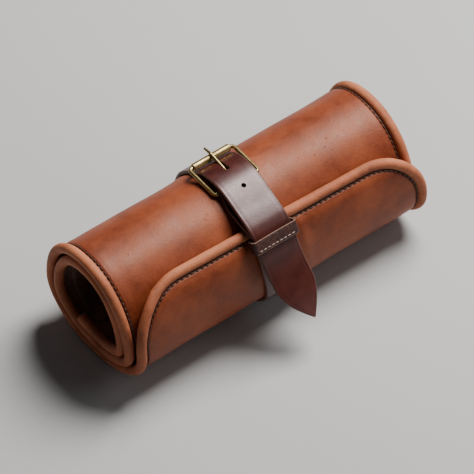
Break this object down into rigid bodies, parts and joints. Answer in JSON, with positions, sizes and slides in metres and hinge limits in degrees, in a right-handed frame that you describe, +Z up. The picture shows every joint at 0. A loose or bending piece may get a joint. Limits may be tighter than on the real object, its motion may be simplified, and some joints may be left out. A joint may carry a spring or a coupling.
{
  "type": "brush roll case",
  "caption": "Rolled leather case for artists' brushes, piped along its edges and closed by a strap with a roller buckle and a keeper loop.",
  "frame": {"origin": "middle of the strap's flat underside, where the roll stands", "axes": "+X along the roll, towards the end that the flap's end is shifted to; -Y towards the flap's edge and the strap's tip; +Z up"},
  "size_m": [0.2609, 0.1428, 0.1041],
  "materials": {
    "tan_leather": "oiled pull-up leather, satin",
    "piping_leather": "nubuck-like, matte",
    "strap_leather": "smooth bridle leather, waxed",
    "lining_leather": "suede, matte",
    "cord_core": "twisted cotton",
    "thread": "waxed thread",
    "antique_brass": "antique, satin"
  },
  "bodies": {
    "roll": {"outer_panel": "tan_leather", "lining_panel": "lining_leather", "edge_piping": "piping_leather", "piping_cord": "cord_core", "edge_stitching": "thread", "inner_end_stitching": "thread", "pocket_panel": "lining_leather", "pocket_seams": "thread", "tip_cover": "lining_leather", "tip_cover_seam": "thread", "strap": "strap_leather", "fold_stitching": "thread", "anchor_stitching": "thread"},
    "free_end": {"strap_free_end": "strap_leather"},
    "keeper": {"strap_keeper": "strap_leather", "keeper_stitching": "thread"},
    "frame": {"buckle_frame": "antique_brass"},
    "roller": {"buckle_roller": "antique_brass"},
    "prong": {"buckle_prong": "antique_brass"}
  },
  "joints": [
    {"name": "free_end_lift", "type": "hinge", "parent": "roll", "child": "free_end", "pos_m": [0, -0.05574, 0.07237], "axis": [-1, 0, 0], "range_deg": [0, 55], "stiffness_Nm_per_rad": 0.06},
    {"name": "keeper_slide", "type": "slide", "parent": "roll", "child": "keeper", "axis": [0, -0.5378, -0.8431], "range_m": [-0.002, 0.002]},
    {"name": "buckle_tilt", "type": "hinge", "parent": "roll", "child": "frame", "pos_m": [0, -0.004, 0.0976], "axis": [1, 0, 0], "range_deg": [0, 2]},
    {"name": "prong_lift", "type": "hinge", "parent": "frame", "child": "prong", "pos_m": [0, -0.004, 0.0976], "axis": [1, 0, 0], "range_deg": [0, 3]},
    {"name": "roller_spin", "type": "hinge", "parent": "frame", "child": "roller", "pos_m": [0, 0.02697, 0.09619], "axis": [1, 0, 0], "continuous": true}
  ]
}
